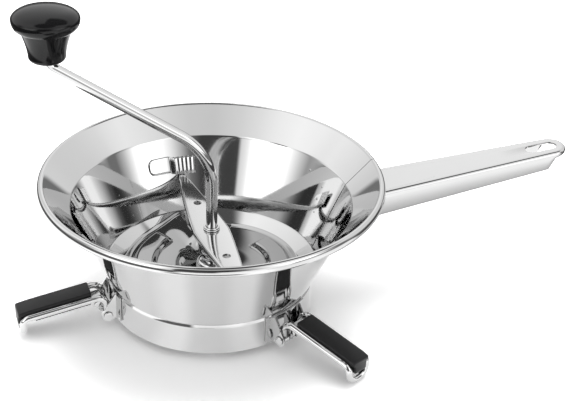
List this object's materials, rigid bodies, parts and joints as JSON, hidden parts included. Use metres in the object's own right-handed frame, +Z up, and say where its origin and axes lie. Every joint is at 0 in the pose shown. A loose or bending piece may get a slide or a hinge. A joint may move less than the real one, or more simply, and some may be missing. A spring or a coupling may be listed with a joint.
{
  "type": "food mill",
  "caption": "Hand-cranked food mill: a flared steel hopper over a perforated disc, a spring-pressed rotary blade, a long channel handle and folding feet.",
  "frame": {"origin": "centre of the flat lower end of the spindle, under the sieve disc", "axes": "+X along the handle, +Z up along the spindle, +Y to the left of someone who looks along the handle from the hopper"},
  "size_m": [0.4112, 0.251, 0.2278],
  "materials": {
    "polished_steel": "mirror polished stainless steel sheet",
    "bright_drawn_steel": "bright drawn round bar and turned parts",
    "spring_steel": "plain drawn spring wire",
    "gloss_black_plastic": "glossy black moulding",
    "satin_black_plastic": "satin black moulding"
  },
  "bodies": {
    "hopper_body": {"hopper": "polished_steel", "handle": "polished_steel", "crossbar": "polished_steel", "crossbar_lug_rear": "polished_steel", "crossbar_lug_front": "polished_steel", "crossbar_bushing": "polished_steel", "spring_washer": "bright_drawn_steel", "sieve_disc": "polished_steel", "foot_bracket_left": "polished_steel", "foot_hinge_pin_left": "polished_steel", "foot_bracket_front": "polished_steel", "foot_hinge_pin_front": "polished_steel", "foot_bracket_rear": "polished_steel", "foot_hinge_pin_rear": "polished_steel"},
    "spring": {"pressure_spring": "spring_steel"},
    "crank": {"crank_rod": "bright_drawn_steel", "shaft_clip": "bright_drawn_steel", "blade": "polished_steel", "blade_hub": "polished_steel", "hub_pin": "bright_drawn_steel", "knob_retaining_ring": "bright_drawn_steel"},
    "knob": {"knob": "gloss_black_plastic"},
    "foot_left": {"foot_wire_left": "bright_drawn_steel", "foot_yoke_left": "polished_steel", "foot_yoke_rivet_left": "polished_steel", "foot_pad_left": "satin_black_plastic"},
    "foot_front": {"foot_wire_front": "bright_drawn_steel", "foot_yoke_front": "polished_steel", "foot_yoke_rivet_front": "polished_steel", "foot_pad_front": "satin_black_plastic"},
    "foot_rear": {"foot_wire_rear": "bright_drawn_steel", "foot_yoke_rear": "polished_steel", "foot_yoke_rivet_rear": "polished_steel", "foot_pad_rear": "satin_black_plastic"}
  },
  "joints": [
    {"name": "blade_lift", "type": "slide", "parent": "hopper_body", "child": "spring", "axis": [0, 0, 1], "range_m": [0, 0.003], "stiffness_N_per_m": 2500, "springref_m": -0.004, "deforming": ["pressure_spring"]},
    {"name": "crank_spin", "type": "hinge", "parent": "spring", "child": "crank", "pos_m": [0, 0, 0.042], "axis": [0, 0, 1], "continuous": true},
    {"name": "knob_spin", "type": "hinge", "parent": "crank", "child": "knob", "pos_m": [-0.10529, 0.02821, 0.19], "axis": [0, 0, 1], "continuous": true},
    {"name": "foot_left_fold", "type": "hinge", "parent": "hopper_body", "child": "foot_left", "pos_m": [-0.078, 0, -0.009], "axis": [0, -1, 0], "range_deg": [0, 150]},
    {"name": "foot_front_fold", "type": "hinge", "parent": "hopper_body", "child": "foot_front", "pos_m": [0.039, -0.06755, -0.009], "axis": [0.866, 0.5, 0], "range_deg": [0, 150]},
    {"name": "foot_rear_fold", "type": "hinge", "parent": "hopper_body", "child": "foot_rear", "pos_m": [0.039, 0.06755, -0.009], "axis": [-0.866, 0.5, 0], "range_deg": [0, 150]}
  ]
}
